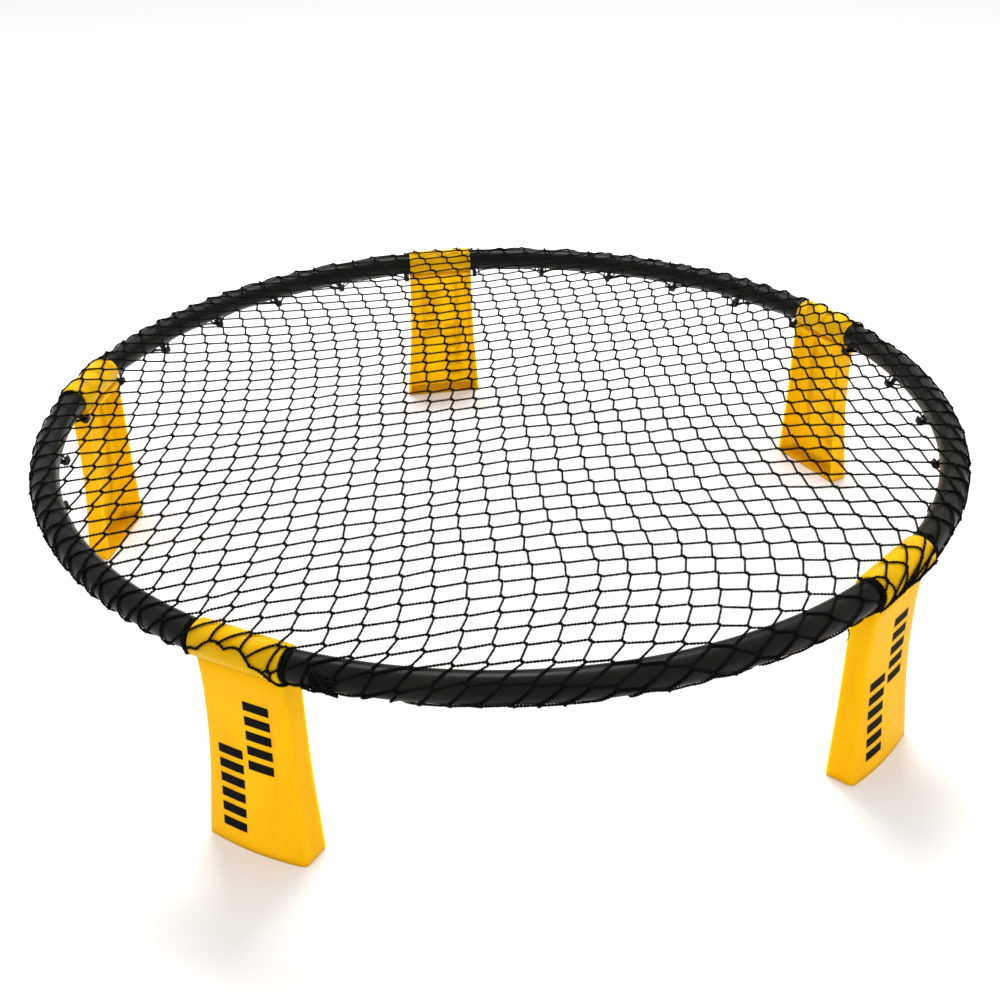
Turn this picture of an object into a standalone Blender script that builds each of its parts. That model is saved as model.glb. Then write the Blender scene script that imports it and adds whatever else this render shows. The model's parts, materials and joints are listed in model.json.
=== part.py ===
"""Roundnet set: a round rim of five curved tubes that plug together inside the sleeves of five folding legs,
with a net drawn over the rim and held on hooks under it.

Metres, +Z up. The origin is on the floor at the centre of the rim, and leg_1 stands on +Y.
"""

import math

import bmesh
import bpy
from mathutils import Matrix, Vector

# ---- Driving dimensions --------------------------------------------------------------------------
SIDES = 5                      # legs, and rim tubes between them
FIRST_LEG = math.radians(90)   # azimuth of leg_1
SECTOR = math.tau / SIDES

RIM_RADIUS = 0.4425            # centre line of the round rim
RIM_HEIGHT = 0.191             # centre line of the rim above the floor
TUBE_RADIUS = 0.0125
TUBE_WALL = 0.0016
TUBE_STEP = math.radians(4)    # turn of the rim tube from one ring of its mesh to the next

SPIGOT_LENGTH = 0.035          # reduced end that plugs into the next tube
SPIGOT_NECK = 0.008            # solid stretch where the tube is drawn down to its spigot

SLEEVE_WALL = 0.0021
SLEEVE_LENGTH = 0.080
SLEEVE_CHAMFER = 0.001

LEG_WALL = 0.0028
LEG_CORNER = 0.004             # rounding between the front panel and the side walls
LEG_DRAFT = 0.0015             # how much wider the leg is at the free edges of its side walls
LEG_CROWN = 0.0042             # bulge of the front panel's middle at the foot, fading out up to the sleeve
FOOT_FLOOR = 0.0035
FOOT_CORNER = 0.0015           # rounding of the foot's two lower corners
LEG_RIB_THICKNESS = 0.0022
LEG_RIB_HEIGHT = 0.0045
LEG_RIB_OFFSET = 0.022         # each stiffening rib from the leg's middle
LEG_RIB_SPAN = (0.09, 0.78)    # shares of the leg's drop between which the ribs run
GROOVE_RADIUS = 0.0021         # crease between the sleeve and the front panel
BRIDGE_OFFSET = 0.012          # small bridges that cross the crease
BRIDGE_WIDTH = 0.003

# Outline of the leg below its sleeve: share of the drop from the sleeve's underside to the floor,
# front face, free edge of the side walls, and how far each side is set in from the end of the sleeve.
# Across the leg 0 is the hinge axis and the outside of the rim is positive.
LEG_OUTLINE = (
    (0.00, 0.0084, -0.0120, 0.0003),
    (0.08, 0.0076, -0.0122, 0.0003),
    (0.18, 0.0072, -0.0118, 0.0001),
    (0.31, 0.0076, -0.0110, -0.0005),
    (0.46, 0.0087, -0.0100, -0.0015),
    (0.62, 0.0107, -0.0088, -0.0032),
    (0.78, 0.0136, -0.0078, -0.0054),
    (0.91, 0.0162, -0.0070, -0.0072),
    (1.00, 0.0180, -0.0065, -0.0082),
)
NECK_FRONT = 0.0050            # front and back of the leg where it runs up into its sleeve
NECK_BACK = -0.0065

HOOKS_PER_TUBE = 6
HOOK_CLEAR = 0.0070                # first hook of a tube, from the end of the sleeve beside it
HOOK_WIDTH = 0.005
HOOK_THICKNESS = 0.0028
HOOK_ANGLE = math.radians(-118)    # place of the hook round the tube, 0 outward and 90 degrees up
HOOK_LENGTH = 0.010                # below the skin of the tube
HOOK_CURL = 0.0034                 # radius of the hook's bend

NET_CORD = 0.0016
NET_FLAT_SHARE = 0.90              # share of the rim radius over which the net lies flat
NET_TUBE_END = math.radians(-100)  # where the net's border stops round the tube
NET_SLEEVE_END = math.radians(-42)  # and round a sleeve

# ---- Clearances ----------------------------------------------------------------------------------
TURNING_FIT = 0.0004               # sleeve on tube
PLUG_FIT = 0.0004                  # spigot in tube
TOUCH_GAP = 0.0003                 # pieces that lie against each other
NET_GAP = 0.0006                   # net over the tubes and the sleeves
FOLD_GAP = 0.0025                  # sleeve's mouth to the bend of the tube

# ---- What follows from them ----------------------------------------------------------------------
# BEND is the azimuth from a leg's middle to the bend of the tube beside its sleeve. The straight ends of
# the tubes lie on the chord at HINGE_RADIUS.
BEND = (SLEEVE_LENGTH / 2 + FOLD_GAP) / RIM_RADIUS
HINGE_RADIUS = RIM_RADIUS * math.cos(BEND)
BORE_RADIUS = TUBE_RADIUS - TUBE_WALL
SPIGOT_RADIUS = BORE_RADIUS - PLUG_FIT
SLEEVE_BORE = TUBE_RADIUS + TURNING_FIT
SLEEVE_RADIUS = SLEEVE_BORE + SLEEVE_WALL
LEG_DROP = RIM_HEIGHT - SLEEVE_RADIUS
HOOK_START = (SLEEVE_LENGTH / 2 + HOOK_CLEAR) / RIM_RADIUS

# ---- Collections ---------------------------------------------------------------------------------
for stale in list(bpy.data.objects):
    bpy.data.objects.remove(stale)

parts = bpy.data.collections.new("roundnet_set")
cutters = bpy.data.collections.new("roundnet_cutters")
bpy.context.scene.collection.children.link(parts)
bpy.context.scene.collection.children.link(cutters)
cutters.hide_render = True


def material(name, colour, roughness):
    """A Principled material of one plain colour."""
    made = bpy.data.materials.new(name)
    made.use_nodes = True
    shader = made.node_tree.nodes["Principled BSDF"]
    shader.inputs["Base Color"].default_value = (*colour, 1.0)
    shader.inputs["Roughness"].default_value = roughness
    return made


BLACK_TUBE = material("black_hdpe_tube", (0.020, 0.020, 0.019), 0.5)
YELLOW_LEG = material("yellow_polypropylene", (0.90, 0.52, 0.02), 0.4)
BLACK_HOOK = material("black_nylon_hook", (0.012, 0.012, 0.012), 0.5)
BLACK_NET = material("black_nylon_net", (0.010, 0.010, 0.010), 0.8)


# ---- Building blocks -----------------------------------------------------------------------------
def place(mesh_or_data, name, group, skin=None):
    """Links data as an object; a helper is hidden from renders and drawn as wire."""
    made = bpy.data.objects.new(name, mesh_or_data)
    group.objects.link(made)
    if skin is not None:
        made.data.materials.clear()
        made.data.materials.append(skin)
    if group is cutters:
        made.hide_render = True
        made.display_type = "WIRE"
    return made


def loft(rings, name):
    """A closed solid through rings of equal point counts."""
    mesh = bpy.data.meshes.new(name)
    work = bmesh.new()
    rows = [[work.verts.new(point) for point in ring] for ring in rings]
    for low, high in zip(rows, rows[1:]):
        for i in range(len(low)):
            j = (i + 1) % len(low)
            work.faces.new((low[i], low[j], high[j], high[i]))
    work.faces.new(list(reversed(rows[0])))
    work.faces.new(rows[-1])
    bmesh.ops.recalc_face_normals(work, faces=work.faces)
    work.to_mesh(mesh)
    work.free()
    return mesh


def solid_from(obj):
    """The evaluated, welded mesh of an object with its modifiers applied."""
    graph = bpy.context.evaluated_depsgraph_get()
    mesh = bpy.data.meshes.new_from_object(obj.evaluated_get(graph))
    work = bmesh.new()
    work.from_mesh(mesh)
    bmesh.ops.remove_doubles(work, verts=work.verts, dist=0.00001)
    bmesh.ops.recalc_face_normals(work, faces=work.faces)
    work.to_mesh(mesh)
    work.free()
    return mesh


def bar(points, radius, name, resolution=6):
    """A round bar along a list of points, as a closed mesh."""
    curve = bpy.data.curves.new(name, "CURVE")
    curve.dimensions = "3D"
    curve.bevel_depth = radius
    curve.bevel_resolution = resolution
    curve.use_fill_caps = True
    line = curve.splines.new("POLY")
    line.points.add(len(points) - 1)
    for target, point in zip(line.points, points):
        target.co = (*point, 1.0)
    guide = place(curve, name + "_route", cutters)
    return solid_from(guide)


def prism(outline, width, name):
    """An outline in X and Z drawn out along Y, with its middle on Y = 0."""
    rings = [[Vector((x, y, z)) for x, z in outline] for y in (-width / 2, width / 2)]
    return loft(rings, name)


def combine(obj, other, operation):
    step = obj.modifiers.new(other.name, "BOOLEAN")
    step.operation = operation
    step.solver = "EXACT"
    step.object = other


def smooth(mesh, angle=math.radians(35)):
    """Smooth shading with the edges sharper than the angle kept."""
    mesh.shade_smooth()
    mesh.set_sharp_from_angle(angle=angle)


# ---- Rim tubes -----------------------------------------------------------------------------------
# Each is one blow-moulded pipe: round along the rim, straight inside the two sleeves. One end is a socket
# and the other is drawn down to a spigot that fills the next tube's socket.
def straight_point(leg_azimuth, along):
    """A point of the chord through a leg's sleeve, measured from the leg's middle towards higher azimuths."""
    return Matrix.Rotation(leg_azimuth, 3, "Z") @ Vector((HINGE_RADIUS, along, 0))


def rim_point(azimuth):
    return Vector((RIM_RADIUS * math.cos(azimuth), RIM_RADIUS * math.sin(azimuth), 0))


def tube_route(start, end):
    """From a distance along the first sleeve's chord, round the rim, to a distance along the second one's."""
    steps = math.ceil((SECTOR - 2 * BEND) / TUBE_STEP)
    arc = [BEND + (SECTOR - 2 * BEND) * i / steps for i in range(steps + 1)]
    return [straight_point(0, start)] + [rim_point(a) for a in arc] + [straight_point(SECTOR, end)]


def make_rim_tube():
    half_gap = TOUCH_GAP / 2
    blank_run = tube_route(half_gap, -half_gap)
    blank = place(bar(blank_run, TUBE_RADIUS, "tube_blank", resolution=9), "tube_blank", cutters)
    spigot_run = [straight_point(SECTOR, along) for along in (-half_gap - SPIGOT_NECK / 2, SPIGOT_LENGTH)]
    spigot = place(bar(spigot_run, SPIGOT_RADIUS, "tube_spigot"), "tube_spigot", cutters)
    bore_run = tube_route(-SPIGOT_NECK, -half_gap - SPIGOT_NECK)
    bore = place(bar(bore_run, BORE_RADIUS, "tube_bore"), "tube_bore", cutters)
    neck_run = [straight_point(SECTOR, along) for along in (-2 * SPIGOT_NECK, SPIGOT_LENGTH + SPIGOT_NECK)]
    neck_bore = place(bar(neck_run, SPIGOT_RADIUS - TUBE_WALL, "neck_bore"), "neck_bore", cutters)
    combine(blank, spigot, "UNION")
    combine(blank, bore, "DIFFERENCE")
    combine(blank, neck_bore, "DIFFERENCE")
    mesh = solid_from(blank)
    smooth(mesh)
    return mesh


# ---- Legs ----------------------------------------------------------------------------------------
# One moulding: a sleeve that turns on the tubes, and below it a channel with a front panel, two side walls
# and a floor, open towards the middle of the set. Local axes: X outward, Y along the sleeve, Z up, 0 on
# the hinge.
def outline_at(share):
    """Front face, free edge and half width of the leg at a share of its drop."""
    for above, below in zip(LEG_OUTLINE, LEG_OUTLINE[1:]):
        if share <= below[0]:
            t = (share - above[0]) / (below[0] - above[0])
            front, edge, side = [a + (b - a) * t for a, b in zip(above[1:], below[1:])]
            return front, edge, SLEEVE_LENGTH / 2 - side
    front, edge, side = LEG_OUTLINE[-1][1:]
    return front, edge, SLEEVE_LENGTH / 2 - side


def depth_at(share):
    return SLEEVE_RADIUS + share * LEG_DROP


def crown_at(depth, y, half):
    """How far the front panel bulges out at a depth, and at a place across it."""
    share = max(depth - SLEEVE_RADIUS, 0) / LEG_DROP
    return LEG_CROWN * share * (1 - (y / half) ** 2)


def channel_ring(depth, front, edge, half, inset=0.0, open_by=0.0):
    """One level of the channel, set in from its outer skin; open_by carries it past the free edges."""
    front -= inset
    half -= inset
    radius = LEG_CORNER - inset
    turn = [math.radians(a) for a in (0, 30, 60, 90)]
    near = [(front - radius + radius * math.sin(a), -half + radius - radius * math.cos(a)) for a in turn]
    middle = [(front, half * share) for share in (-0.66, -0.33, 0.0, 0.33, 0.66)]
    far = [(x, -y) for x, y in reversed(near)]
    skin = [(x + crown_at(depth, y, half), y) for x, y in near + middle + far]
    flat = [(edge - open_by, -half - LEG_DRAFT)] + skin + [(edge - open_by, half + LEG_DRAFT)]
    return [Vector((x, y, -depth)) for x, y in flat]


def levels(first, last):
    """The outline's own levels between two shares, with the two ends."""
    return [first] + [row[0] for row in LEG_OUTLINE if first < row[0] < last] + [last]


def make_leg_shell():
    """The leg's outside, from inside the sleeve down to a foot with its two lower corners rounded."""
    front, edge, half = outline_at(0.0)
    rings = [
        channel_ring(0.0, NECK_FRONT, NECK_BACK, half),
        channel_ring(SLEEVE_RADIUS * 0.85, (NECK_FRONT + front) / 2, (NECK_BACK + edge) / 2, half),
    ]
    last = 1 - FOOT_CORNER / LEG_DROP
    for share in levels(0.0, last)[:-1]:
        rings.append(channel_ring(depth_at(share), *outline_at(share)))
    for angle in (0, 30, 60, 90):
        a = math.radians(angle)
        share = last + (1 - last) * math.sin(a)
        front, edge, half = outline_at(share)
        rings.append(channel_ring(depth_at(share), front, edge, half - FOOT_CORNER * (1 - math.cos(a))))
    return place(loft(list(reversed(rings)), "leg_shell"), "leg_shell", cutters)


def make_leg_hollow():
    top = LEG_WALL / LEG_DROP
    bottom = 1 - FOOT_FLOOR / LEG_DROP
    rings = []
    for share in levels(top, bottom):
        rings.append(channel_ring(depth_at(share), *outline_at(share), inset=LEG_WALL, open_by=LEG_CORNER))
    return place(loft(list(reversed(rings)), "leg_hollow"), "leg_hollow", cutters)


def make_leg_rib(side, name):
    """A stiffening rib on the back of the front panel, fading out at both ends."""
    first, last = LEG_RIB_SPAN
    rings = []
    middle = side * LEG_RIB_OFFSET
    for share in levels(first, last):
        front, _, width = outline_at(share)
        front += crown_at(depth_at(share), middle, width)
        height = LEG_RIB_HEIGHT / 9 if share in (first, last) else LEG_RIB_HEIGHT
        root = front - LEG_WALL / 2
        crest = front - LEG_WALL - height
        half = LEG_RIB_THICKNESS / 2
        ring = [(crest, middle - half), (root, middle - half), (root, middle + half), (crest, middle + half)]
        rings.append([Vector((x, y, -depth_at(share))) for x, y in ring])
    return place(loft(list(reversed(rings)), name), name, cutters)


def make_sleeve():
    """A turned bar with chamfered ends, laid along Y."""
    half = SLEEVE_LENGTH / 2
    profile = (
        (0.0, half),
        (SLEEVE_RADIUS - SLEEVE_CHAMFER, half),
        (SLEEVE_RADIUS, half - SLEEVE_CHAMFER),
        (SLEEVE_RADIUS, SLEEVE_CHAMFER - half),
        (SLEEVE_RADIUS - SLEEVE_CHAMFER, -half),
        (0.0, -half),
    )
    mesh = bpy.data.meshes.new("sleeve_profile")
    edges = [(i, i + 1) for i in range(len(profile) - 1)]
    mesh.from_pydata([(x, 0.0, z) for x, z in profile], edges, [])
    lathe = place(mesh, "sleeve_profile", cutters)
    turn = lathe.modifiers.new("turn", "SCREW")
    turn.axis = "Z"
    turn.steps = 40
    turn.render_steps = 40
    turn.use_merge_vertices = True
    turn.merge_threshold = 0.00001
    bpy.context.view_layer.update()
    solid = solid_from(lathe)
    solid.transform(Matrix.Rotation(math.radians(-90), 4, "X"))
    return place(solid, "leg_sleeve", cutters)


def make_groove(start, end, name):
    """One stretch of the crease under the sleeve, between two places along it."""
    depth = SLEEVE_RADIUS * math.sin(math.radians(56))
    out = SLEEVE_RADIUS * math.cos(math.radians(56)) + GROOVE_RADIUS * 0.4
    ends = [Vector((out, y, -depth)) for y in (start, end)]
    return place(bar(ends, GROOVE_RADIUS, name, resolution=2), name, cutters)


def make_leg():
    shell = make_leg_shell()
    combine(shell, make_leg_hollow(), "DIFFERENCE")
    for side, name in ((-1, "rib_low"), (1, "rib_high")):
        combine(shell, make_leg_rib(side, name), "UNION")
    combine(shell, make_sleeve(), "UNION")
    reach = SLEEVE_LENGTH
    bore_run = [Vector((0, -reach, 0)), Vector((0, reach, 0))]
    bore = place(bar(bore_run, SLEEVE_BORE, "sleeve_bore", resolution=8), "sleeve_bore", cutters)
    combine(shell, bore, "DIFFERENCE")
    inner = BRIDGE_OFFSET - BRIDGE_WIDTH / 2
    outer = BRIDGE_OFFSET + BRIDGE_WIDTH / 2
    side_end = SLEEVE_LENGTH / 2 - LEG_CORNER
    for start, end, name in (
        (-side_end, -outer, "groove_low"),
        (-inner, inner, "groove_middle"),
        (outer, side_end, "groove_high"),
    ):
        combine(shell, make_groove(start, end, name), "DIFFERENCE")
    mesh = solid_from(shell)
    smooth(mesh, math.radians(28))
    return mesh


# ---- Net hooks -----------------------------------------------------------------------------------
# A flat moulded tongue with a saddle against the underside of the tube, its tip turned up towards the
# middle.
def hook_centre_line():
    """Points of the hook's middle in X and Z, from inside the tube's skin to the tip."""
    down = Vector((math.cos(HOOK_ANGLE), math.sin(HOOK_ANGLE)))
    inward = Vector((down.y, -down.x))
    shank_end = down * (TUBE_RADIUS + HOOK_LENGTH - HOOK_CURL)
    points = [down * (TUBE_RADIUS - HOOK_THICKNESS), shank_end]
    for angle in (45, 90, 135, 180):
        a = math.radians(angle)
        along = HOOK_CURL * math.sin(a)
        across = HOOK_CURL * (1 - math.cos(a))
        points.append(shank_end + down * along + inward * across)
    points.append(points[-1] - down * HOOK_THICKNESS)
    return points


def ribbon(points, thickness):
    """The outline of a strip of even thickness along points in a plane."""
    left = []
    right = []
    for i, point in enumerate(points):
        before = points[max(i - 1, 0)]
        after = points[min(i + 1, len(points) - 1)]
        ahead = (after - before).normalized()
        across = Vector((-ahead.y, ahead.x)) * thickness / 2
        left.append(point + across)
        right.append(point - across)
    return [tuple(point) for point in left + list(reversed(right))]


def make_hook():
    """The hook about the tube's centre line, X outward and Y along the tube."""
    outline = ribbon(hook_centre_line(), HOOK_THICKNESS)
    tongue = place(prism(outline, HOOK_WIDTH, "hook_tongue"), "hook_tongue", cutters)
    reach = HOOK_WIDTH
    saddle_run = [Vector((0, -reach, 0)), Vector((0, reach, 0))]
    saddle_radius = TUBE_RADIUS + TOUCH_GAP
    saddle = place(bar(saddle_run, saddle_radius, "hook_saddle", resolution=8), "hook_saddle", cutters)
    combine(tongue, saddle, "DIFFERENCE")
    mesh = solid_from(tongue)
    smooth(mesh)
    return mesh


# ---- Net -----------------------------------------------------------------------------------------
# A plain closed sheet as thick as the cord: flat over the rim, down its outside and in under it. It rides
# over the sleeves and stops higher there, because the legs hang from them.
def net_stations():
    """Azimuth from a leg, with 1 where the net covers a sleeve and 0 where it wraps a tube."""
    mouth = SLEEVE_LENGTH / 2 / RIM_RADIUS
    clear = BEND + math.radians(2.4)
    half = [(0.0, 1.0), (mouth / 2, 1.0), (mouth + math.radians(0.3), 1.0)]
    half += [(BEND + math.radians(0.9), 0.6), (BEND + math.radians(1.6), 0.2)]
    steps = 7
    half += [(clear + (SECTOR / 2 - clear) * i / steps, 0.0) for i in range(steps + 1)]
    return half + [(SECTOR - azimuth, share) for azimuth, share in reversed(half[1:-1])]


def net_path(azimuth, share, radius):
    """One face of the sheet at an azimuth from a leg, from the flat middle out and round the tube."""
    nearest = min(azimuth, SECTOR - azimuth)
    centre = HINGE_RADIUS / math.cos(nearest) if nearest < BEND else RIM_RADIUS
    end = NET_TUBE_END + (NET_SLEEVE_END - NET_TUBE_END) * share
    start = math.radians(90)
    steps = 9
    points = []
    for i in range(steps + 1):
        angle = start + (end - start) * i / steps
        points.append((centre + radius * math.cos(angle), RIM_HEIGHT + radius * math.sin(angle)))
    return points


def make_net():
    """The sheet's section round the rim, with the flat middle as one face above and one below."""
    work = bmesh.new()
    tube_skin = TUBE_RADIUS + NET_GAP
    sleeve_skin = SLEEVE_RADIUS + NET_GAP
    flat_radius = RIM_RADIUS * NET_FLAT_SHARE
    rows = []
    for leg in range(SIDES):
        for offset, share in net_stations():
            azimuth = FIRST_LEG + leg * SECTOR + offset
            inner = tube_skin + (sleeve_skin - tube_skin) * share
            low = (flat_radius, RIM_HEIGHT + tube_skin)
            high = (flat_radius, RIM_HEIGHT + tube_skin + NET_CORD)
            under = [low] + net_path(offset, share, inner)
            over = [high] + net_path(offset, share, inner + NET_CORD)
            turn = Matrix.Rotation(azimuth, 3, "Z")
            section = [turn @ Vector((r, 0, z)) for r, z in under + list(reversed(over))]
            rows.append([work.verts.new(point) for point in section])
    for row, following in zip(rows, rows[1:] + rows[:1]):
        for i in range(len(row) - 1):
            work.faces.new((row[i], row[i + 1], following[i + 1], following[i]))
    work.faces.new([row[0] for row in rows])
    work.faces.new([row[-1] for row in rows])
    bmesh.ops.recalc_face_normals(work, faces=work.faces)
    mesh = bpy.data.meshes.new("net")
    work.to_mesh(mesh)
    work.free()
    smooth(mesh)
    return mesh


# ---- Assembly ------------------------------------------------------------------------------------
def at(azimuth, radius):
    """The frame at an azimuth on the rim's centre line, X outward and Y along the rim."""
    up = Matrix.Translation((0, 0, RIM_HEIGHT))
    return up @ Matrix.Rotation(azimuth, 4, "Z") @ Matrix.Translation((radius, 0, 0))


rim_tube_mesh = make_rim_tube()
leg_mesh = make_leg()
hook_mesh = make_hook()
hook_step = (SECTOR - 2 * HOOK_START) / (HOOKS_PER_TUBE - 1)

for number in range(SIDES):
    leg_azimuth = FIRST_LEG + number * SECTOR
    tube = place(rim_tube_mesh, f"rim_tube_{number + 1}", parts, BLACK_TUBE)
    tube.matrix_world = at(leg_azimuth, 0)
    leg = place(leg_mesh, f"leg_{number + 1}", parts, YELLOW_LEG)
    leg.matrix_world = at(leg_azimuth, HINGE_RADIUS)
    for i in range(HOOKS_PER_TUBE):
        hook = place(hook_mesh, f"net_hook_{number + 1}_{i + 1}", parts, BLACK_HOOK)
        hook.matrix_world = at(leg_azimuth + HOOK_START + i * hook_step, RIM_RADIUS)

place(make_net(), "net", parts, BLACK_NET)
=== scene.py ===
"""Looks of the roundnet set: black rim tubes, amber legs with a plain print, hooks and a knotless net."""

import json
import math

import bmesh
import bpy
import numpy as np
from mathutils import Matrix, Vector
from mathutils.bvhtree import BVHTree


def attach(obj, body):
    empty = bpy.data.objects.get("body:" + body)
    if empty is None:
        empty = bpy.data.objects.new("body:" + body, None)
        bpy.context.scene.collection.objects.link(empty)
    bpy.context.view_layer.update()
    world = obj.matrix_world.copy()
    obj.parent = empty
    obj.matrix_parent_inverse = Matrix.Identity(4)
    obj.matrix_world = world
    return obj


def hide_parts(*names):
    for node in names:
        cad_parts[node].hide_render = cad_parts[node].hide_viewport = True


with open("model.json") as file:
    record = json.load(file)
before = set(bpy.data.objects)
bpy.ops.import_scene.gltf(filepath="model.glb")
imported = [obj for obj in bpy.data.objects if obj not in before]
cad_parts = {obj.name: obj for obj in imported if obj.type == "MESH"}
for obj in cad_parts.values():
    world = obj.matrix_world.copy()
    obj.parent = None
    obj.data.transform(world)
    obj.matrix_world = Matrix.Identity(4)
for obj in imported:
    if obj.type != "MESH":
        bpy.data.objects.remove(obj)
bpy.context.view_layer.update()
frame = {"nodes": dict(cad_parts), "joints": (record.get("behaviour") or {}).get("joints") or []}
scene = bpy.context.scene

# ---- View -----------------------------------------------------------------------------------------
# Seen from above one side, 1.2 m from the middle of the rim, with leg_3 and leg_4 nearest. The camera
# looks a little below the net, so that the feet stay in view.
hinges = {joint["name"]: joint for joint in frame["joints"]}
RIM_HEIGHT = hinges["leg_1_hinge"]["pos_m"][2]
VIEW_AZIMUTH = math.radians(-100.2)
VIEW_ELEVATION = math.radians(26.57)
VIEW_DISTANCE = 1.2205
VIEW_DIP = math.radians(4.52)
VIEW_ROLL = math.radians(-0.65)
VIEW_LENS = 42.74

eye_direction = Vector((
    math.cos(VIEW_AZIMUTH) * math.cos(VIEW_ELEVATION),
    math.sin(VIEW_AZIMUTH) * math.cos(VIEW_ELEVATION),
    math.sin(VIEW_ELEVATION),
))
camera = bpy.data.objects.new("camera", bpy.data.cameras.new("camera"))
scene.collection.objects.link(camera)
scene.camera = camera
camera.data.lens = VIEW_LENS
camera.data.sensor_width = 36
camera.data.clip_start = 0.01
camera.data.clip_end = 200
towards = -eye_direction
across = towards.cross(Vector((0, 0, 1))).normalized()
towards = (Matrix.Rotation(-VIEW_DIP, 3, across) @ towards).normalized()
across = (Matrix.Rotation(-VIEW_ROLL, 3, towards) @ across).normalized()
upward = across.cross(towards)
facing = Matrix((across, upward, -towards)).transposed().to_4x4()
eye = eye_direction * VIEW_DISTANCE + Vector((0, 0, RIM_HEIGHT))
camera.matrix_world = Matrix.Translation(eye) @ facing

# ---- Floor and light ------------------------------------------------------------------------------
# A plain white studio floor under one wide soft box, with a weak one in front and the room's own white
# light all round.
FLOOR_RADIUS = 30.0
FLOOR_SIDES = 64


def linear(code):
    """An sRGB hex colour as linear light, with alpha."""
    channels = [int(code[i:i + 2], 16) / 255 for i in (1, 3, 5)]
    return tuple(c / 12.92 if c <= 0.04045 else ((c + 0.055) / 1.055) ** 2.4 for c in channels) + (1.0,)


def add_node(tree, kind, settings=None, links=None, stops=None):
    """Adds a node with its properties and socket values, links its inputs and sets a ramp's colours."""
    node = tree.nodes.new(kind)
    for name, value in (settings or {}).items():
        if hasattr(node, name):
            setattr(node, name, value)
        else:
            node.inputs[name].default_value = value
    for name, source in (links or {}).items():
        tree.links.new(source, node.inputs[name])
    if stops:
        ramp = node.color_ramp
        while len(ramp.elements) < len(stops):
            ramp.elements.new(1.0)
        for element, (place, colour) in zip(ramp.elements, stops):
            element.position = place
            element.color = colour
    return node


def new_material(name):
    """An empty node material with its output; returns the material, its tree and the output node."""
    material = bpy.data.materials.new(name)
    material.use_nodes = True
    material.node_tree.nodes.clear()
    output = material.node_tree.nodes.new("ShaderNodeOutputMaterial")
    return material, material.node_tree, output


floor_mesh = bpy.data.meshes.new("floor")
turns = np.linspace(0, math.tau, FLOOR_SIDES + 1)[:-1]
floor_edge = [(FLOOR_RADIUS * math.cos(turn), FLOOR_RADIUS * math.sin(turn), 0) for turn in turns]
floor_mesh.from_pydata(floor_edge, [], [list(range(FLOOR_SIDES))])
floor = bpy.data.objects.new("floor", floor_mesh)
scene.collection.objects.link(floor)
white_paint, tree, output = new_material("matt_white_painted_floor")
soft_cloud = add_node(tree, "ShaderNodeTexNoise", {"Scale": 0.6, "Detail": 2.0})
tone = add_node(
    tree, "ShaderNodeValToRGB", links={"Fac": soft_cloud.outputs["Fac"]},
    stops=[(0.3, linear("#F9F9F8")), (0.7, linear("#FBFBFA"))],
)
shader = add_node(
    tree, "ShaderNodeBsdfPrincipled",
    {"Roughness": 0.9, "Specular IOR Level": 0.1},
    {"Base Color": tone.outputs["Color"]},
)
tree.links.new(shader.outputs["BSDF"], output.inputs["Surface"])
floor_mesh.materials.append(white_paint)

world = bpy.data.worlds.new("studio")
scene.world = world
world.use_nodes = True
world.node_tree.nodes["Background"].inputs["Color"].default_value = (1.0, 1.0, 1.0, 1.0)
world.node_tree.nodes["Background"].inputs["Strength"].default_value = 0.97


def soft_box(name, place, target, size, power):
    """A rectangular area light at a place, turned to its target."""
    light = bpy.data.lights.new(name, "AREA")
    light.shape = "RECTANGLE"
    light.size, light.size_y = size
    light.energy = power
    lamp = bpy.data.objects.new(name, light)
    scene.collection.objects.link(lamp)
    lamp.location = place
    lamp.rotation_euler = (Vector(target) - Vector(place)).to_track_quat("-Z", "Y").to_euler()


soft_box("overhead_box", (0.18, 1.0, 2.2), (0, 0, 0.19), (1.2, 0.6), 50)
soft_box("front_box", (-1.3, -2.6, 1.6), (0, -0.2, 0.1), (1.4, 0.9), 1.5)

# ---- Rim tubes ------------------------------------------------------------------------------------
# Five blow-moulded polyethylene pipes, plugged end to end inside the sleeves of the legs. Black, with
# the satin skin and the faint lengthwise lines that the die leaves.
black_polyethylene, tree, output = new_material("blow_moulded_black_polyethylene")
# Position is in metres. The length of its X and Y is the distance from the middle of the rim, so that
# a pattern in that distance and in height alone runs along the tube.
where = add_node(tree, "ShaderNodeNewGeometry")
flat = add_node(
    tree, "ShaderNodeVectorMath", {"operation": "MULTIPLY"}, {"Vector": where.outputs["Position"]}
)
flat.inputs[1].default_value = (1, 1, 0)
reach = add_node(tree, "ShaderNodeVectorMath", {"operation": "LENGTH"}, {"Vector": flat.outputs["Vector"]})
split = add_node(tree, "ShaderNodeSeparateXYZ", links={"Vector": where.outputs["Position"]})
section = add_node(
    tree, "ShaderNodeCombineXYZ", links={"X": reach.outputs["Value"], "Z": split.outputs["Z"]}
)
# Die lines are about 0.4 mm apart on the real tube; 1.6 mm here, so that they show.
die_lines = add_node(
    tree, "ShaderNodeTexNoise", {"Scale": 1 / 0.0016, "Detail": 1.0, "Roughness": 0.4},
    {"Vector": section.outputs["Vector"]},
)
skin = add_node(
    tree, "ShaderNodeTexNoise", {"Scale": 1 / 0.0012, "Detail": 2.0}, {"Vector": where.outputs["Position"]}
)
handling = add_node(
    tree, "ShaderNodeTexNoise", {"Scale": 1 / 0.045, "Detail": 4.0}, {"Vector": where.outputs["Position"]}
)
tone = add_node(
    tree, "ShaderNodeValToRGB", links={"Fac": handling.outputs["Fac"]},
    stops=[(0.35, linear("#0D0E0B")), (0.7, linear("#15150F"))],
)
gloss = add_node(
    tree, "ShaderNodeMapRange",
    {"From Min": 0.3, "From Max": 0.7, "To Min": 0.33, "To Max": 0.42},
    {"Value": handling.outputs["Fac"]},
)
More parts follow.
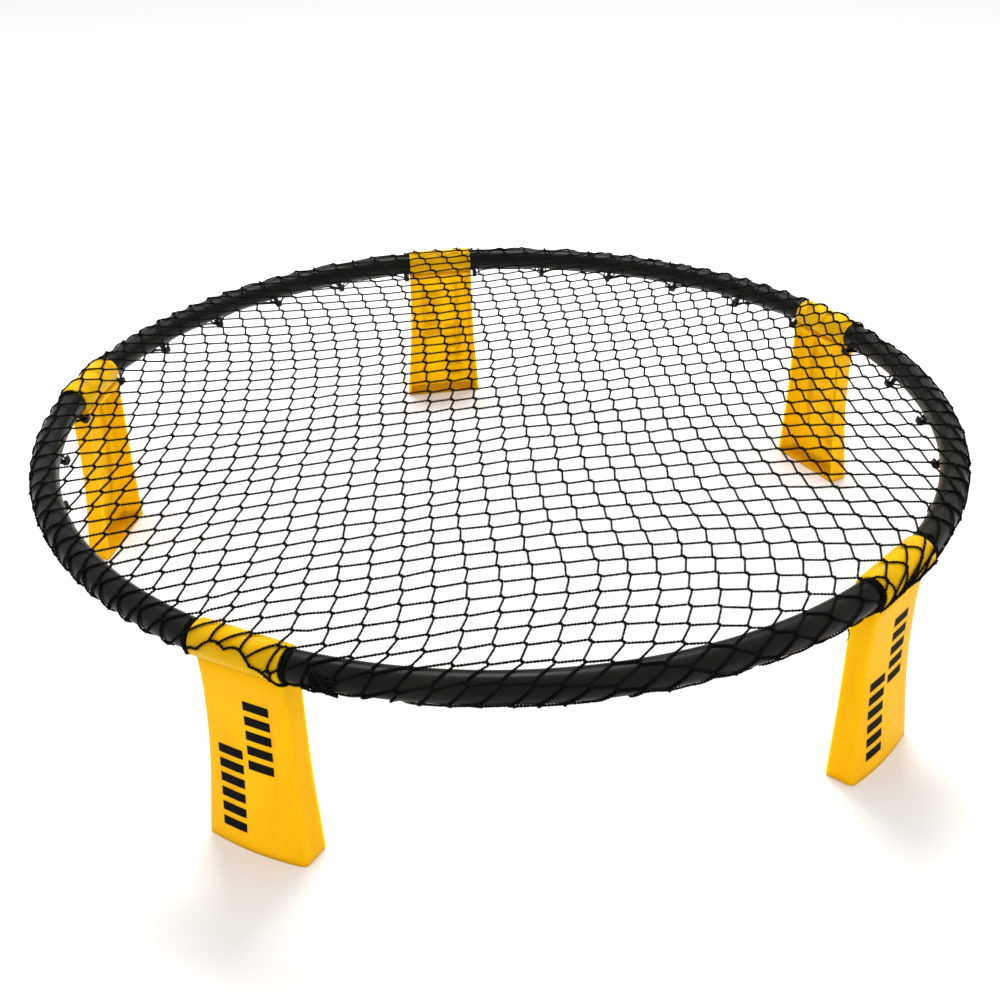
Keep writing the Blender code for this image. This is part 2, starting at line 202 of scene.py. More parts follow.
ridge = add_node(
    tree, "ShaderNodeBump", {"Strength": 0.25, "Distance": 0.0002}, {"Height": die_lines.outputs["Fac"]}
)
grain = add_node(
    tree, "ShaderNodeBump", {"Strength": 0.15, "Distance": 0.0002},
    {"Height": skin.outputs["Fac"], "Normal": ridge.outputs["Normal"]},
)
shader = add_node(
    tree, "ShaderNodeBsdfPrincipled",
    {"IOR": 1.51, "Specular IOR Level": 0.09},
    {
        "Base Color": tone.outputs["Color"],
        "Roughness": gloss.outputs["Result"],
        "Normal": grain.outputs["Normal"],
    },
)
tree.links.new(shader.outputs["BSDF"], output.inputs["Surface"])

SIDES = len(frame["joints"])
LEG_ONE = math.radians(90)
SECTOR = math.tau / SIDES
RIM_RADIUS = 0.4425
HINGE_RADIUS = math.hypot(*hinges["leg_1_hinge"]["pos_m"][:2])
BEND = math.acos(HINGE_RADIUS / RIM_RADIUS)   # azimuth from a leg's middle to the bend of its tubes
TUBE_RADIUS = 0.0125
BORE_RADIUS = 0.0109
SPIGOT_RADIUS = 0.0105
SPIGOT_BORE = 0.0089
SPIGOT_LENGTH = 0.035
BORE_END = 0.016                              # before the shoulder by this, the bore narrows to the spigot's
HALF_JOINT = 0.00015                          # half the gap between two tubes in the middle of a sleeve
EDGE = 0.0006                                 # rounding of the moulded ends
TUBE_SIDES = 48
BODY_STEPS = 70                               # rings along a tube between its ends
TUBE_EDGE_ANGLE = math.radians(50)


def along_tube(travel):
    """A point of the tube's centre line in its own sector: straight in the sleeves, round between them."""
    chord = HINGE_RADIUS * math.tan(BEND)
    arc = RIM_RADIUS * (SECTOR - 2 * BEND)
    if travel < chord:
        return Vector((HINGE_RADIUS, travel, 0)), Vector((0, 1, 0))
    if travel < chord + arc:
        azimuth = BEND + (travel - chord) / RIM_RADIUS
        ahead = Vector((-math.sin(azimuth), math.cos(azimuth), 0))
        return Vector((math.cos(azimuth), math.sin(azimuth), 0)) * RIM_RADIUS, ahead
    back = travel - 2 * chord - arc
    turned = Matrix.Rotation(SECTOR, 3, "Z")
    return turned @ Vector((HINGE_RADIUS, back, 0)), turned @ Vector((0, 1, 0))


tube_length = 2 * HINGE_RADIUS * math.tan(BEND) + RIM_RADIUS * (SECTOR - 2 * BEND)
socket_end = HALF_JOINT
shoulder = tube_length - HALF_JOINT
tip = tube_length + SPIGOT_LENGTH
body_length = shoulder - socket_end - 2 * EDGE
body = [socket_end + EDGE + body_length * i / BODY_STEPS for i in range(BODY_STEPS + 1)]
outside = [(socket_end, TUBE_RADIUS - EDGE)] + [(travel, TUBE_RADIUS) for travel in body]
outside += [(shoulder, TUBE_RADIUS - EDGE), (shoulder, SPIGOT_RADIUS), (tip - EDGE, SPIGOT_RADIUS)]
outside += [(tip, SPIGOT_RADIUS - EDGE)]
inside = [(tip, SPIGOT_BORE), (shoulder - BORE_END, SPIGOT_BORE), (shoulder - BORE_END, BORE_RADIUS)]
inside += [(travel, BORE_RADIUS) for travel in reversed(body) if travel < shoulder - 1.25 * BORE_END]
inside += [(socket_end, BORE_RADIUS)]

for number in range(1, SIDES + 1):
    sector = Matrix.Rotation(LEG_ONE + (number - 1) * SECTOR, 3, "Z")
    work = bmesh.new()
    rings = []
    for travel, radius in outside + inside:
        middle, ahead = along_tube(travel)
        aside = ahead.cross(Vector((0, 0, 1)))
        ring = []
        for i in range(TUBE_SIDES):
            angle = math.tau * i / TUBE_SIDES
            spot = middle + radius * (aside * math.cos(angle) + Vector((0, 0, math.sin(angle))))
            ring.append(work.verts.new(sector @ spot + Vector((0, 0, RIM_HEIGHT))))
        rings.append(ring)
    for ring, following in zip(rings, rings[1:] + rings[:1]):
        for i in range(TUBE_SIDES):
            j = (i + 1) % TUBE_SIDES
            work.faces.new((ring[i], ring[j], following[j], following[i]))
    bmesh.ops.recalc_face_normals(work, faces=work.faces)
    mesh = bpy.data.meshes.new(f"rim_tube_{number}_pipe")
    work.to_mesh(mesh)
    work.free()
    mesh.materials.append(black_polyethylene)
    mesh.shade_smooth()
    mesh.set_sharp_from_angle(angle=TUBE_EDGE_ANGLE)
    pipe = bpy.data.objects.new(f"rim_tube_{number}_pipe", mesh)
    scene.collection.objects.link(pipe)
    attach(pipe, "rim")
    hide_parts(f"rim_tube_{number}")

# ---- Legs -----------------------------------------------------------------------------------------
# One injection moulding of amber polypropylene each: the sleeve that the tubes pass through, and a
# hollow panel that stands on its floor. Light goes some 10 mm into the plastic, so that its thin walls
# glow from behind, and its skin is satin.
WELD_DISTANCE = 0.00001
LEG_EDGE_ANGLE = math.radians(32)

amber_polypropylene, tree, output = new_material("moulded_amber_polypropylene")
where = add_node(tree, "ShaderNodeNewGeometry")
# The mould's spark-eroded skin is about 0.3 mm; 0.9 mm here, so that it shows.
eroded = add_node(
    tree, "ShaderNodeTexNoise", {"Scale": 1 / 0.0009, "Detail": 2.0}, {"Vector": where.outputs["Position"]}
)
drawn = add_node(
    tree, "ShaderNodeVectorMath", {"operation": "MULTIPLY"}, {"Vector": where.outputs["Position"]}
)
drawn.inputs[1].default_value = (1, 1, 0.25)
# The melt ran down the panel from the sleeve and left streaks 12 mm wide, four times as long.
flow = add_node(
    tree, "ShaderNodeTexNoise", {"Scale": 1 / 0.012, "Detail": 3.0}, {"Vector": drawn.outputs["Vector"]}
)
tone = add_node(
    tree, "ShaderNodeValToRGB", links={"Fac": flow.outputs["Fac"]},
    stops=[(0.3, linear("#E6A504")), (0.7, linear("#EAAC08"))],
)
gloss = add_node(
    tree, "ShaderNodeMapRange",
    {"From Min": 0.3, "From Max": 0.7, "To Min": 0.38, "To Max": 0.48},
    {"Value": flow.outputs["Fac"]},
)
# Painted shade: deep in a crease or an inner corner, where the plastic sees only itself, an ambient
# occlusion node darkens its base colour.
crease = add_node(tree, "ShaderNodeAmbientOcclusion", {"Distance": 0.005, "samples": 6, "only_local": True})
shade = add_node(
    tree, "ShaderNodeMapRange",
    {"From Min": 0.4, "From Max": 0.85, "To Min": 0.5, "To Max": 1.0},
    {"Value": crease.outputs["AO"]},
)
shaded = add_node(tree, "ShaderNodeVectorMath", {"operation": "SCALE"}, {"Vector": tone.outputs["Color"]})
tree.links.new(shade.outputs["Result"], shaded.inputs["Scale"])
grain = add_node(
    tree, "ShaderNodeBump", {"Strength": 0.12, "Distance": 0.0002}, {"Height": eroded.outputs["Fac"]}
)
shader = add_node(
    tree, "ShaderNodeBsdfPrincipled",
    {
        "IOR": 1.49,
        "Specular IOR Level": 0.05,
        "Subsurface Weight": 1.0,
        "Subsurface Radius": (0.7, 1.0, 0.05),
        "Subsurface Scale": 0.012,
    },
    {
        "Base Color": shaded.outputs["Vector"],
        "Roughness": gloss.outputs["Result"],
        "Normal": grain.outputs["Normal"],
    },
)
tree.links.new(shader.outputs["BSDF"], output.inputs["Surface"])

for number in range(1, SIDES + 1):
    leg = frame["nodes"][f"leg_{number}"]
    skin = leg.data.copy()
    skin.name = f"leg_{number}_moulding"
    work = bmesh.new()
    work.from_mesh(skin)
    bmesh.ops.remove_doubles(work, verts=work.verts, dist=WELD_DISTANCE)
    work.to_mesh(skin)
    work.free()
    skin.materials.clear()
    skin.materials.append(amber_polypropylene)
    skin.shade_smooth()
    skin.set_sharp_from_angle(angle=LEG_EDGE_ANGLE)
    moulding = bpy.data.objects.new(skin.name, skin)
    moulding.matrix_world = leg.matrix_world.copy()
    scene.collection.objects.link(moulding)
    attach(moulding, f"leg_{number}")
    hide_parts(f"leg_{number}")

# ---- Print on the legs ----------------------------------------------------------------------------
# Pad-printed black ink on the outside of each panel: two columns of plain bars, one set lower
# than the other. The ink lies on the skin as a film.
INK_FILM = 0.00006
BAR_WIDTH = 0.0235
BAR_HEIGHT = 0.0088
BAR_PITCH = 0.0143
PRINT_COLUMNS = ((-0.0180, 0.017, 6), (0.0105, 0.082, 5))     # place across, lowest bar, count of bars
BAR_GRID = (7, 5)                             # points across a bar and up it
OUTSIDE = 0.6                                 # a distance from the middle that is clear of the legs

printing_ink, tree, output = new_material("pad_printed_black_ink")
where = add_node(tree, "ShaderNodeNewGeometry")
# Pinholes in the film are some 0.3 mm across; 0.8 mm here, so that they show.
pinholes = add_node(
    tree, "ShaderNodeTexNoise", {"Scale": 1 / 0.0008, "Detail": 1.0}, {"Vector": where.outputs["Position"]}
)
tone = add_node(
    tree, "ShaderNodeValToRGB", links={"Fac": pinholes.outputs["Fac"]},
    stops=[(0.25, linear("#0D0B08")), (0.5, linear("#030303"))],
)
shader = add_node(
    tree, "ShaderNodeBsdfPrincipled",
    {"Roughness": 0.6, "IOR": 1.48, "Specular IOR Level": 0.05},
    {"Base Color": tone.outputs["Color"]},
)
tree.links.new(shader.outputs["BSDF"], output.inputs["Surface"])

for number in range(1, SIDES + 1):
    joint = hinges[f"leg_{number}_hinge"]
    azimuth = math.atan2(joint["pos_m"][1], joint["pos_m"][0])
    outward = Vector((math.cos(azimuth), math.sin(azimuth), 0))
    sideways = Vector((-math.sin(azimuth), math.cos(azimuth), 0))
    leg = frame["nodes"][f"leg_{number}"]
    leg_points = [vertex.co for vertex in leg.data.vertices]
    skin_tree = BVHTree.FromPolygons(leg_points, [face.vertices for face in leg.data.polygons])
    verts = []
    faces = []
    for middle, lowest, count in PRINT_COLUMNS:
        for bar in range(count):
            start = len(verts)
            for row in range(BAR_GRID[1]):
                for column in range(BAR_GRID[0]):
                    along = column / (BAR_GRID[0] - 1) - 0.5
                    height = lowest + bar * BAR_PITCH + BAR_HEIGHT * row / (BAR_GRID[1] - 1)
                    aside = sideways * (middle + BAR_WIDTH * along)
                    spot = outward * OUTSIDE + aside + Vector((0, 0, height))
                    hit = skin_tree.ray_cast(spot, -outward)[0]
                    verts.append(hit + outward * INK_FILM)
            for row in range(BAR_GRID[1] - 1):
                for column in range(BAR_GRID[0] - 1):
                    corner = start + row * BAR_GRID[0] + column
                    faces.append((corner, corner + 1, corner + 1 + BAR_GRID[0], corner + BAR_GRID[0]))
    mesh = bpy.data.meshes.new(f"leg_{number}_print")
    mesh.from_pydata(verts, [], faces)
    mesh.materials.append(printing_ink)
    mesh.shade_smooth()
    bars = bpy.data.objects.new(f"leg_{number}_print", mesh)
    scene.collection.objects.link(bars)
    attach(bars, f"leg_{number}")

# ---- Net hooks ------------------------------------------------------------------------------------
# Small flat hooks of black nylon seated against the tubes, six under each. Nylon straight from the mould
# is duller than the tube beside it.
black_nylon, tree, output = new_material("moulded_black_nylon")
where = add_node(tree, "ShaderNodeNewGeometry")
mottle = add_node(
    tree, "ShaderNodeTexNoise", {"Scale": 1 / 0.003, "Detail": 2.0}, {"Vector": where.outputs["Position"]}
)
tone = add_node(
    tree, "ShaderNodeValToRGB", links={"Fac": mottle.outputs["Fac"]},
    stops=[(0.3, linear("#0F0F0E")), (0.7, linear("#171614"))],
)
grain = add_node(
    tree, "ShaderNodeBump", {"Strength": 0.2, "Distance": 0.0002}, {"Height": mottle.outputs["Fac"]}
)
shader = add_node(
    tree, "ShaderNodeBsdfPrincipled",
    {"Roughness": 0.5, "IOR": 1.53, "Specular IOR Level": 0.2},
    {"Base Color": tone.outputs["Color"], "Normal": grain.outputs["Normal"]},
)
tree.links.new(shader.outputs["BSDF"], output.inputs["Surface"])
for name, node in frame["nodes"].items():
    if name.startswith("net_hook_"):
        node.data.materials.clear()
        node.data.materials.append(black_nylon)

# ---- Net ------------------------------------------------------------------------------------------
# A square mesh of thin black nylon cord, machine-made without knots: two cords run together for 5 mm at
# each crossing and change sides. It is drawn over the rim and the sleeves, down the outside and in
# under the tubes, and its border cord is caught on the hooks.
SLEEVE_RADIUS = 0.0150
SLEEVE_HALF = 0.040
CORD_RADIUS = 0.00089
LIE = CORD_RADIUS + 0.0001                   # cord's middle above what it lies on
TUBE_END = math.radians(-112)                # where the border runs round a tube, 0 outward
# Where the border lies over each sleeve: at its lower-azimuth mouth, in its middle and at its other mouth.
SLEEVE_ENDS = np.radians([(-20, -8, -24), (-18, -6, -22), (-22, 30, -64), (-70, -48, -26), (-20, -2, -14)])
SLEEVE_GATHER = np.array([0.0, 0.0, 0.0, -0.75, 0.0])    # how far the net is dragged towards one mouth
HOOK_START = (SLEEVE_HALF + 0.0070) / RIM_RADIUS
HOOKS = 6
HOOK_STEP = (SECTOR - 2 * HOOK_START) / (HOOKS - 1)
CURL_REACH = 0.0191                          # middle of a hook's bend below the tube's middle
CURL_INWARD = 0.0034
HOOK_ANGLE = math.radians(-118)
MESH_PITCH = 0.0234
rng = np.random.default_rng(11)


def soft_step(value):
    """From 0 to 1 as the value does, level at both ends."""
    value = np.clip(value, 0, 1)
    return value * value * (3 - 2 * value)


def from_nearest_leg(azimuth):
    """Azimuth measured from the nearest leg, and that leg's own azimuth."""
    leg = np.round((azimuth - LEG_ONE) / SECTOR) * SECTOR + LEG_ONE
    return azimuth - leg, leg


def leg_index(azimuth):
    """Which leg is nearest, counted from 0."""
    return np.mod(np.round((azimuth - LEG_ONE) / SECTOR), SIDES).astype(int)


def nearest_hook(azimuth):
    """Azimuth of the nearest hook."""
    offset, leg = from_nearest_leg(azimuth)
    place = np.clip(np.round((np.abs(offset) - HOOK_START) / HOOK_STEP), 0, HOOKS // 2)
    return leg + np.sign(offset) * (HOOK_START + place * HOOK_STEP)


MOUTH_STEP = 0.0045                           # azimuth over which the net steps up onto a sleeve


def rim_section(azimuth, spread):
    """Middle of what the net lies over at an azimuth, and its radius; spread blurs the sleeve's mouth."""
    offset = np.abs(from_nearest_leg(azimuth)[0])
    centre = np.where(offset < BEND, HINGE_RADIUS / np.cos(np.minimum(offset, BEND)), RIM_RADIUS)
    edge = SLEEVE_HALF / RIM_RADIUS
    on_sleeve = 1 - soft_step((offset - edge + spread * 0.4) / (spread + MOUTH_STEP))
    return centre, TUBE_RADIUS + (SLEEVE_RADIUS - TUBE_RADIUS) * on_sleeve + LIE


SCALLOP = 0.005                              # how far the border draws in between two hooks
HALF_CELL_NOTCH = 0.005                      # and between two cords on a sleeve


def border_reach(azimuth):
    """Flat distance from the middle of the net to its border."""
    centre, radius = rim_section(azimuth, 0.0)
    offset = np.abs(from_nearest_leg(azimuth)[0])
    edge = SLEEVE_HALF / RIM_RADIUS
    on_sleeve = 1 - soft_step((offset - edge + 0.004) / (HOOK_START - edge + 0.004))
    signed = from_nearest_leg(azimuth)[0] / edge
    ends = SLEEVE_ENDS[leg_index(azimuth)]
    sleeve_end = ends[..., 1] * (1 - signed ** 2) + ends[..., 0] * signed * (signed - 1) / 2
    sleeve_end = np.clip(sleeve_end + ends[..., 2] * signed * (signed + 1) / 2, TUBE_END, math.radians(45))
    end = TUBE_END + (sleeve_end - TUBE_END) * on_sleeve
    away = np.abs(azimuth - nearest_hook(azimuth)) / (HOOK_STEP / 2)
    scallop = SCALLOP * soft_step(away) * (1 - on_sleeve)
    notches = HALF_CELL_NOTCH * np.abs(np.sin(math.pi * azimuth * RIM_RADIUS / MESH_PITCH)) * on_sleeve
    return centre + radius * (math.radians(90) - end) - scallop - notches


RISE_REACH = 0.12                            # the net comes down from a sleeve over this distance inward
BLUR_REACH = 0.16                            # and over this one its step up onto the sleeve grows softer
BLUR = 0.12                                  # by this much azimuth
DRAWN_FROM = math.radians(-45)               # from here round the tube the cords are drawn to the hooks
CAUGHT_FROM = math.radians(-80)              # and from here they leave the tube for a hook
HOOK_CATCH = 0.009                           # distance along the rim within which a hook lifts the net off


def lay(points, gathered=True):
    """Lays points of the flat net, with a lift off it, over the rim. Returns places and normals."""
    x, y, lift = points[:, 0], points[:, 1], points[:, 2]
    reach = np.hypot(x, y)
    azimuth = np.arctan2(y, x)
    if gathered:
        offset, leg = from_nearest_leg(azimuth)
        pull = SLEEVE_GATHER[leg_index(azimuth)]
        mouth = leg + np.sign(pull) * (SLEEVE_HALF + 0.001) / RIM_RADIUS
        deep = soft_step((reach - HINGE_RADIUS - 0.004) / (SLEEVE_RADIUS * math.radians(130)))
        near = soft_step(2.2 - np.abs(offset) / (SLEEVE_HALF / RIM_RADIUS))
        azimuth = azimuth + np.abs(pull) * deep * near * (mouth - azimuth)
    inside = np.clip((RIM_RADIUS - reach) / BLUR_REACH, 0, 1)
    centre, radius = rim_section(azimuth, inside * BLUR)
    rise = radius - TUBE_RADIUS - LIE
    over = np.maximum(reach - centre, 0)
    angle = math.radians(90) - over / radius
    fade = soft_step(1 - (centre - reach) / RISE_REACH)
    flat_height = TUBE_RADIUS + LIE + rise * np.where(reach < centre, fade, 1)
    wrapped = reach > centre
    normal_out = np.where(wrapped, np.cos(angle), 0)
    normal_up = np.where(wrapped, np.sin(angle), 1)
    out = np.where(wrapped, centre + (radius + lift) * np.cos(angle), reach)
    up = np.where(wrapped, (radius + lift) * np.sin(angle), flat_height + lift)
    hook = nearest_hook(azimuth)
    draw = soft_step((DRAWN_FROM - angle) / (DRAWN_FROM - TUBE_END))
    azimuth = azimuth + 0.4 * draw * (hook - azimuth)
    near = np.exp(-((azimuth - hook) * RIM_RADIUS / HOOK_CATCH) ** 2)
    caught = near * soft_step((CAUGHT_FROM - angle) / (CAUGHT_FROM - TUBE_END))
    curl_out = RIM_RADIUS + CURL_REACH * math.cos(HOOK_ANGLE) + CURL_INWARD * math.sin(HOOK_ANGLE)
    curl_up = CURL_REACH * math.sin(HOOK_ANGLE) - CURL_INWARD * math.cos(HOOK_ANGLE)
    out = out + caught * (curl_out - out)
    up = up + caught * (curl_up - up)
    place = np.stack([out * np.cos(azimuth), out * np.sin(azimuth), RIM_HEIGHT + up], axis=1)
    normal = np.stack([normal_out * np.cos(azimuth), normal_out * np.sin(azimuth), normal_up], axis=1)
    return place, normal


PULL_AZIMUTH = VIEW_AZIMUTH + math.radians(90)
# At the front the mesh was dragged sideways as it was drawn over the rim, in millimetres and degrees.
DRAG_FROM = 280                              # distance from the middle where the drag begins
DRAG_EVEN = 150                              # how much further out it stops growing faster
DRAG_MIDDLE = -70
DRAG_SPREAD = 30
WRAP_FROM = 430                              # from here the mesh slants further, round the tube
FRONT = -90
FRONT_HALF = 42


def hang(u, v):
    """Where a crossing of the flat mesh comes to lie once the net is pulled over the rim, in metres.
    The net sits off centre, its rows rise to the right, and its cells are drawn out towards the rim:
    the two cubics, in millimetres, were fitted to how the crossings of the real net lie."""
    x = 25 + 416 * u - 24 * v - 7 * u * u - 30 * u * v + 12 * v * v
    x = x - 23 * u ** 3 - 35 * u * u * v + 88 * u * v * v - 35 * v ** 3
    y = -72 + 409 * v + 47 * u - 10 * u * u + 14 * u * v + 30 * v * v
    y = y - 15 * u ** 3 + 62 * u * u * v + 13 * u * v * v - 23 * v ** 3
    over = np.maximum(np.hypot(x, y) - DRAG_FROM, 0)
    front = np.exp(-((np.degrees(np.arctan2(y, x)) - DRAG_MIDDLE) / DRAG_SPREAD) ** 2)
    drag = front * np.where(over < DRAG_EVEN, over ** 2, DRAG_EVEN * (2 * over - DRAG_EVEN)) / 100
    x = x - 0.27 * drag
    y = y - 0.10 * drag
    over = np.maximum(np.hypot(x, y) - WRAP_FROM, 0)
    front = 1 / (1 + ((np.degrees(np.arctan2(y, x)) - FRONT) / FRONT_HALF) ** 6)
    x = x - 0.5 * front * over
    turned = Matrix.Rotation(PULL_AZIMUTH, 2)
    return np.stack([x, y], axis=-1) / 1000 @ np.array(turned.transposed())


CELLS_OUT = 18                               # cells from the net's middle to where u or v is 1
WANDER = 0.0005                              # how far a crossing strays from the even mesh
columns = np.arange(-25, 27)
rows = np.arange(-25, 29)
crossing = hang(*np.meshgrid(columns / CELLS_OUT, rows / CELLS_OUT, indexing="ij"))
wander = rng.normal(0, 1, (len(columns), len(rows), 2))
drift = wander.copy()
for axis in (0, 1):
    drift = (np.roll(drift, 1, axis) + drift + np.roll(drift, -1, axis)) / 1.7
crossing = crossing + WANDER * wander + WANDER * drift
along_row = np.gradient(crossing, axis=0)
along_row /= np.linalg.norm(along_row, axis=-1, keepdims=True)
along_column = np.gradient(crossing, axis=1)
along_column /= np.linalg.norm(along_column, axis=-1, keepdims=True)
together = along_row - along_column
together /= np.linalg.norm(together, axis=-1, keepdims=True)
apart = along_row + along_column
apart /= np.linalg.norm(apart, axis=-1, keepdims=True)
TOGETHER_HALF = 0.0028                       # half the length over which two cords run together
SIDE_BY_SIDE = 0.0006                        # how far each cord keeps from the middle of that length
longer = 1 + 0.3 * rows / CELLS_OUT          # the mesh is drawn tighter at the far side
half_run = TOGETHER_HALF * rng.uniform(0.85, 1.2, crossing.shape[:2] + (1,)) * longer[None, :, None]
first_end = crossing - together * half_run
last_end = crossing + together * half_run


def cord_through(crossings, entry, middle_lift, exit_side):
    """Points of one cord along a line of crossings: in, over and out of each one. The last number of a
    point is how much thicker the cord is there, where the two are drawn tight on each other."""
    points = []
    for key in crossings:
        for spot, side, lift, tight in (
            (first_end[key], entry, 0.0, 0.0),
            (crossing[key], 0.0, middle_lift, 1.0),
            (last_end[key], exit_side, 0.0, 0.0),
        ):
            points.append((*(spot + apart[key] * side * SIDE_BY_SIDE), lift, tight))
    return np.array(points)


RING_STEP = 0.00075
ROUNDING_PASSES = 2


def smoothed(points):
    """Even steps along a line of points, with its corners rounded."""
    lengths = np.linalg.norm(np.diff(points[:, :2], axis=0), axis=1)
    travel = np.concatenate([[0], np.cumsum(lengths)])
    stations = np.linspace(0, travel[-1], max(int(travel[-1] / RING_STEP), 3))
    line = np.stack([np.interp(stations, travel, points[:, i]) for i in range(points.shape[1])], axis=1)
    for _ in range(ROUNDING_PASSES):
        line[1:-1] = 0.25 * line[:-2] + 0.5 * line[1:-1] + 0.25 * line[2:]
    return line


def inside_border(line):
    """The stretches of a flat line that lie inside the net's border."""
    azimuth = np.arctan2(line[:, 1], line[:, 0])
    inside = np.hypot(line[:, 0], line[:, 1]) <= border_reach(azimuth)
    edges = np.flatnonzero(np.diff(np.concatenate([[0], inside.astype(int), [0]])))
    return [line[a:b] for a, b in zip(edges[::2], edges[1::2]) if b - a > 5]


CORD_SIDES = 6
TWIST_PITCH = 0.0052                         # one turn of the two yarns that make the cord
YARN_SWELL = 0.58                            # how much wider two yarns are side by side than their mean


def cord_surface(places, normals, radius):
    """Rings of a two-yarn twisted cord along a line."""
    tangent = np.gradient(places, axis=0)
    tangent /= np.linalg.norm(tangent, axis=1, keepdims=True)
    side = np.cross(tangent, normals)
    side /= np.linalg.norm(side, axis=1, keepdims=True)
    up = np.cross(side, tangent)
    travel = np.concatenate([[0], np.cumsum(np.linalg.norm(np.diff(places, axis=0), axis=1))])
    twist = math.tau * travel / TWIST_PITCH + rng.uniform(0, math.tau)
    around = np.arange(CORD_SIDES) * math.tau / CORD_SIDES
    swell = 1 + YARN_SWELL * np.cos(2 * (around[None, :] - twist[:, None]))
    swell = swell + rng.normal(0, 0.05, (len(places), 1))
    swell[[0, -1]] *= 0.5
    width = (np.reshape(radius, (-1, 1)) * swell)[:, :, None]
    spread = np.cos(around)[None, :, None] * side[:, None, :]
    spread = spread + np.sin(around)[None, :, None] * up[:, None, :]
    return (places[:, None, :] + width * spread).reshape(-1, 3)


def cord_object(name, lines, material):
    """One mesh of many cords; each line is (places, normals, radius)."""
    verts, loops, totals = [], [], []
    start = 0
    for places, normals, radius in lines:
        count = len(places)
        verts.append(cord_surface(places, normals, radius))
        ring_start = start + np.arange(count - 1)[:, None] * CORD_SIDES
        ring = ring_start + np.arange(CORD_SIDES)[None, :]
        beside = ring_start + (np.arange(CORD_SIDES)[None, :] + 1) % CORD_SIDES
        quads = np.stack([ring, ring + CORD_SIDES, beside + CORD_SIDES, beside], axis=-1)
        loops.append(quads.reshape(-1))
        totals.append(np.full(quads.shape[0] * quads.shape[1], 4))
        loops.append(start + np.arange(CORD_SIDES))
        loops.append(start + (count - 1) * CORD_SIDES + np.arange(CORD_SIDES)[::-1])
        totals.append(np.full(2, CORD_SIDES))
        start += count * CORD_SIDES
    verts, loops, totals = np.concatenate(verts), np.concatenate(loops), np.concatenate(totals)
    mesh = bpy.data.meshes.new(name)
    mesh.vertices.add(len(verts))
    mesh.vertices.foreach_set("co", verts.astype(np.float32).reshape(-1))
    mesh.loops.add(len(loops))
    mesh.loops.foreach_set("vertex_index", loops.astype(np.int32))
    mesh.polygons.add(len(totals))
    mesh.polygons.foreach_set("loop_start", np.concatenate([[0], np.cumsum(totals)[:-1]]).astype(np.int32))
    mesh.update(calc_edges=True)
    mesh.validate()
    mesh.materials.append(material)
    mesh.shade_smooth()
    piece = bpy.data.objects.new(name, mesh)
    scene.collection.objects.link(piece)
    return piece


twisted_cord, tree, output = new_material("twisted_black_nylon_cord")
where = add_node(tree, "ShaderNodeNewGeometry")
# Single fibres are 0.03 mm; they are drawn 0.6 mm thick, so that the cord isn't one flat black.
fibres = add_node(
    tree, "ShaderNodeTexNoise", {"Scale": 1 / 0.0006, "Detail": 2.0}, {"Vector": where.outputs["Position"]}
)
tone = add_node(
    tree, "ShaderNodeValToRGB", links={"Fac": fibres.outputs["Fac"]},
    stops=[(0.3, linear("#0C0C0A")), (0.75, linear("#171713"))],
)
fuzz = add_node(
    tree, "ShaderNodeBump", {"Strength": 0.4, "Distance": 0.0003}, {"Height": fibres.outputs["Fac"]}
)
shader = add_node(
    tree, "ShaderNodeBsdfPrincipled",
    {"Roughness": 0.8, "Specular IOR Level": 0.02},
    {"Base Color": tone.outputs["Color"], "Normal": fuzz.outputs["Normal"]},
)
tree.links.new(shader.outputs["BSDF"], output.inputs["Surface"])

row_runs = []
for j in range(len(rows)):
    line = smoothed(cord_through([(i, j) for i in range(len(columns))], -1, 0.0011, 1))
    row_runs.append(inside_border(line))
column_runs = []
for i in range(len(columns)):
    line = smoothed(cord_through([(i, j) for j in reversed(range(len(rows)))], 1, 0.0, -1))
    column_runs.append(inside_border(line))


TIGHT_SWELL = 0.25                           # how much thicker a cord is where it is drawn on its neighbour


def laid_lines(runs):
    """The stretches of some cords laid over the rim, with their radii."""
    lines = []
    for run in runs:
        for stretch in run:
            places, normals = lay(stretch)
            lines.append((places, normals, CORD_RADIUS * (1 + TIGHT_SWELL * stretch[:, 3])))
    return lines


# The border is one slightly thicker cord from hook to hook, with two turns of cord at each sleeve's mouth.
BORDER_STEP = 0.0011
BORDER_RADIUS = CORD_RADIUS * 1.15
border_azimuth = np.arange(0, math.tau, BORDER_STEP / RIM_RADIUS)
border_flat = border_reach(border_azimuth)
border_line = np.stack([
    border_flat * np.cos(border_azimuth),
    border_flat * np.sin(border_azimuth),
    np.zeros_like(border_flat),
], axis=1)
border_lines = []
places, normals = lay(border_line, gathered=False)
border_lines.append((places, normals, BORDER_RADIUS))


def round_tube(azimuth, angle, lift):
    """Places and normals round the straight end of a tube and its bend, at a lift off the tube."""
    offset = np.abs(from_nearest_leg(azimuth)[0])
    middle = np.where(offset < BEND, HINGE_RADIUS / np.cos(np.minimum(offset, BEND)), RIM_RADIUS)
    out = middle + (TUBE_RADIUS + lift) * np.cos(angle)
    up = (TUBE_RADIUS + lift) * np.sin(angle)
    places = np.stack([out * np.cos(azimuth), out * np.sin(azimuth), RIM_HEIGHT + up], axis=1)
    normals = np.stack([
        np.cos(angle) * np.cos(azimuth),
        np.cos(angle) * np.sin(azimuth),
        np.sin(angle),
    ], axis=1)
    return places, normals


